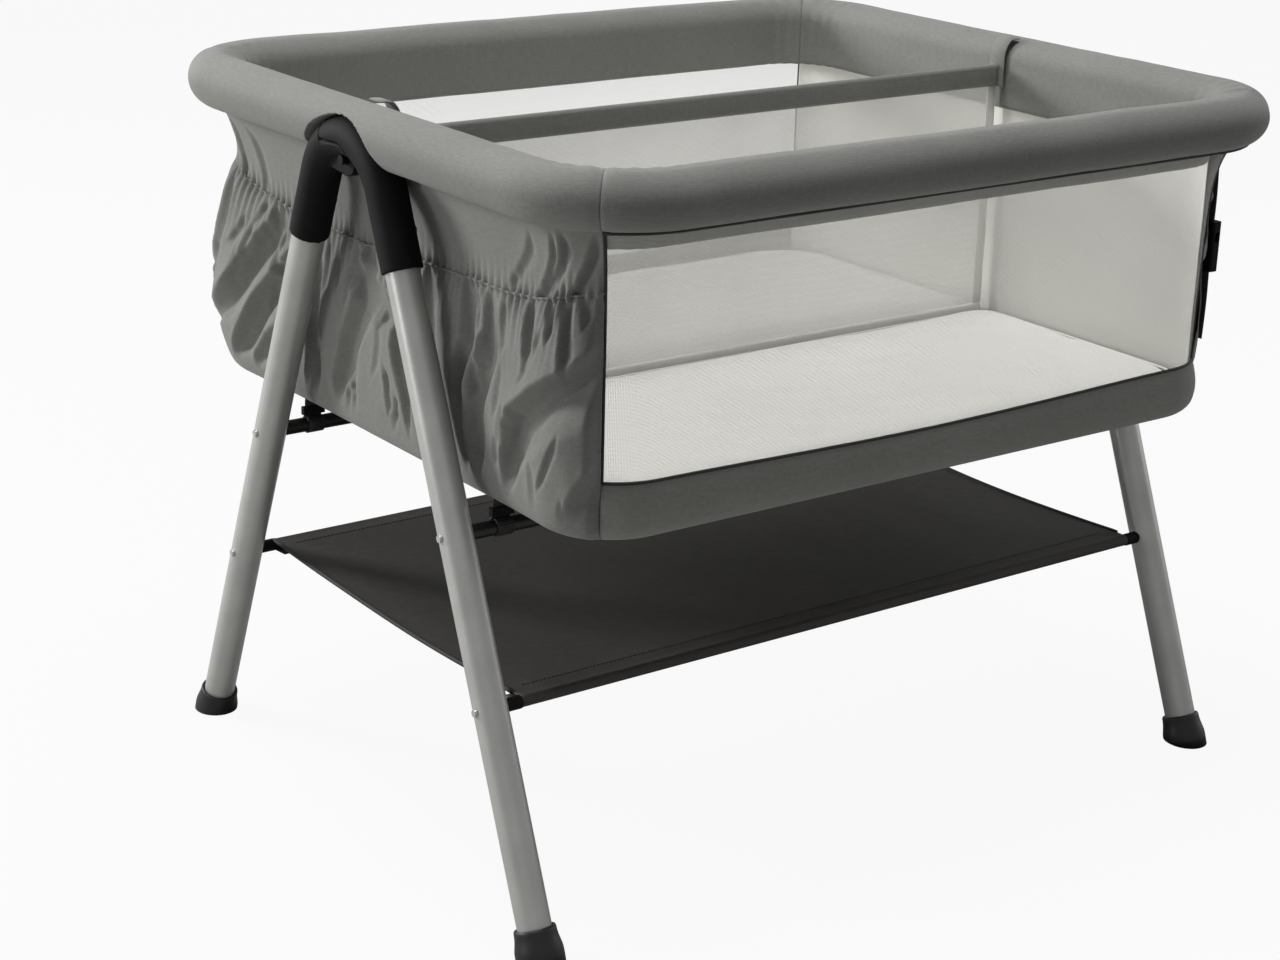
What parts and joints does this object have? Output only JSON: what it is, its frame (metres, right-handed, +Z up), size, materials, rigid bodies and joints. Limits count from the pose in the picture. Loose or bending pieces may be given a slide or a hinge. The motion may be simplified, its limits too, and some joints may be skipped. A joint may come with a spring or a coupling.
{
  "type": "bassinet on stand",
  "caption": "Twin bassinet with mesh sides, a lengthwise divider and gathered end pockets, on a folding A-frame stand with a fabric storage shelf.",
  "frame": {"origin": "on the floor, under the middle of the basket", "axes": "+X along the long side, towards the end with the anchor strap; -Y is the front; +Z up"},
  "size_m": [0.965, 0.848, 0.7821],
  "materials": {
    "inner_steel": "zinc plated",
    "grey_fabric": "woven polyester",
    "white_mesh": "knitted mesh",
    "white_fabric": "soft knit",
    "board": "raw fibreboard",
    "black_plastic": "moulded, fine texture",
    "silver_tube": "satin silver",
    "black_rubber": "ribbed",
    "black_tube": "satin black",
    "charcoal_fabric": "coated weave",
    "black_webbing": "ribbed webbing"
  },
  "bodies": {
    "basket_and_front_legs": {"rail_tube_front": "inner_steel", "rail_tube_back": "inner_steel", "rail_pad_front": "grey_fabric", "rail_pad_back": "grey_fabric", "rail_pad_left": "grey_fabric", "rail_pad_right": "grey_fabric", "end_panel_left": "grey_fabric", "end_panel_right": "grey_fabric", "mesh_window_front": "white_mesh", "mesh_window_back": "white_mesh", "lower_band_front": "grey_fabric", "lower_band_back": "grey_fabric", "base_cover": "grey_fabric", "base_board": "board", "end_pocket_left": "grey_fabric", "end_pocket_right": "grey_fabric", "hub_hood_left": "black_plastic", "hub_hood_right": "black_plastic", "pivot_pins": "inner_steel", "rail_screws": "inner_steel", "leg_front_left": "silver_tube", "leg_front_right": "silver_tube", "foot_front_left": "black_rubber", "foot_front_right": "black_rubber", "cross_bar_front": "black_tube", "leg_bolts_front": "inner_steel", "socket_screws_front": "inner_steel", "shelf_rod_front": "inner_steel", "rod_ferrules_front": "black_plastic", "shelf_fabric": "charcoal_fabric", "floor_ties_front": "black_webbing", "tie_sliders_front": "black_plastic", "anchor_strap": "black_webbing", "buckle_socket": "black_plastic"},
    "back_legs": {"hub_knuckle_left": "black_plastic", "hub_knuckle_right": "black_plastic", "leg_back_left": "silver_tube", "leg_back_right": "silver_tube", "foot_back_left": "black_rubber", "foot_back_right": "black_rubber", "cross_bar_back": "black_tube", "leg_bolts_back": "inner_steel", "socket_screws_back": "inner_steel", "shelf_rod_back": "inner_steel", "rod_ferrules_back": "black_plastic", "floor_ties_back": "black_webbing", "tie_sliders_back": "black_plastic"},
    "divider": {"divider_mesh": "white_mesh", "divider_hem": "white_fabric", "divider_band": "grey_fabric", "divider_straps": "black_webbing"},
    "front_mattress": {"mattress_front": "white_fabric"},
    "back_mattress": {"mattress_back": "white_fabric"},
    "buckle_plug": {"buckle_plug": "black_plastic", "strap_tail": "black_webbing"}
  },
  "joints": [
    {"name": "back_leg_fold", "type": "hinge", "parent": "basket_and_front_legs", "child": "back_legs", "pos_m": [0, 0, 0.726], "axis": [-1, 0, 0], "range_deg": [0, 40], "deforming": ["shelf_fabric"]},
    {"name": "divider_lift", "type": "slide", "parent": "basket_and_front_legs", "child": "divider", "axis": [0, 0, 1], "range_m": [0, 0.36]},
    {"name": "front_mattress_lift", "type": "slide", "parent": "basket_and_front_legs", "child": "front_mattress", "axis": [0, 0, 1], "range_m": [0, 0.36]},
    {"name": "back_mattress_lift", "type": "slide", "parent": "basket_and_front_legs", "child": "back_mattress", "axis": [0, 0, 1], "range_m": [0, 0.36]},
    {"name": "buckle_release", "type": "slide", "parent": "basket_and_front_legs", "child": "buckle_plug", "axis": [0, 0, -1], "range_m": [0, 0.03]}
  ]
}
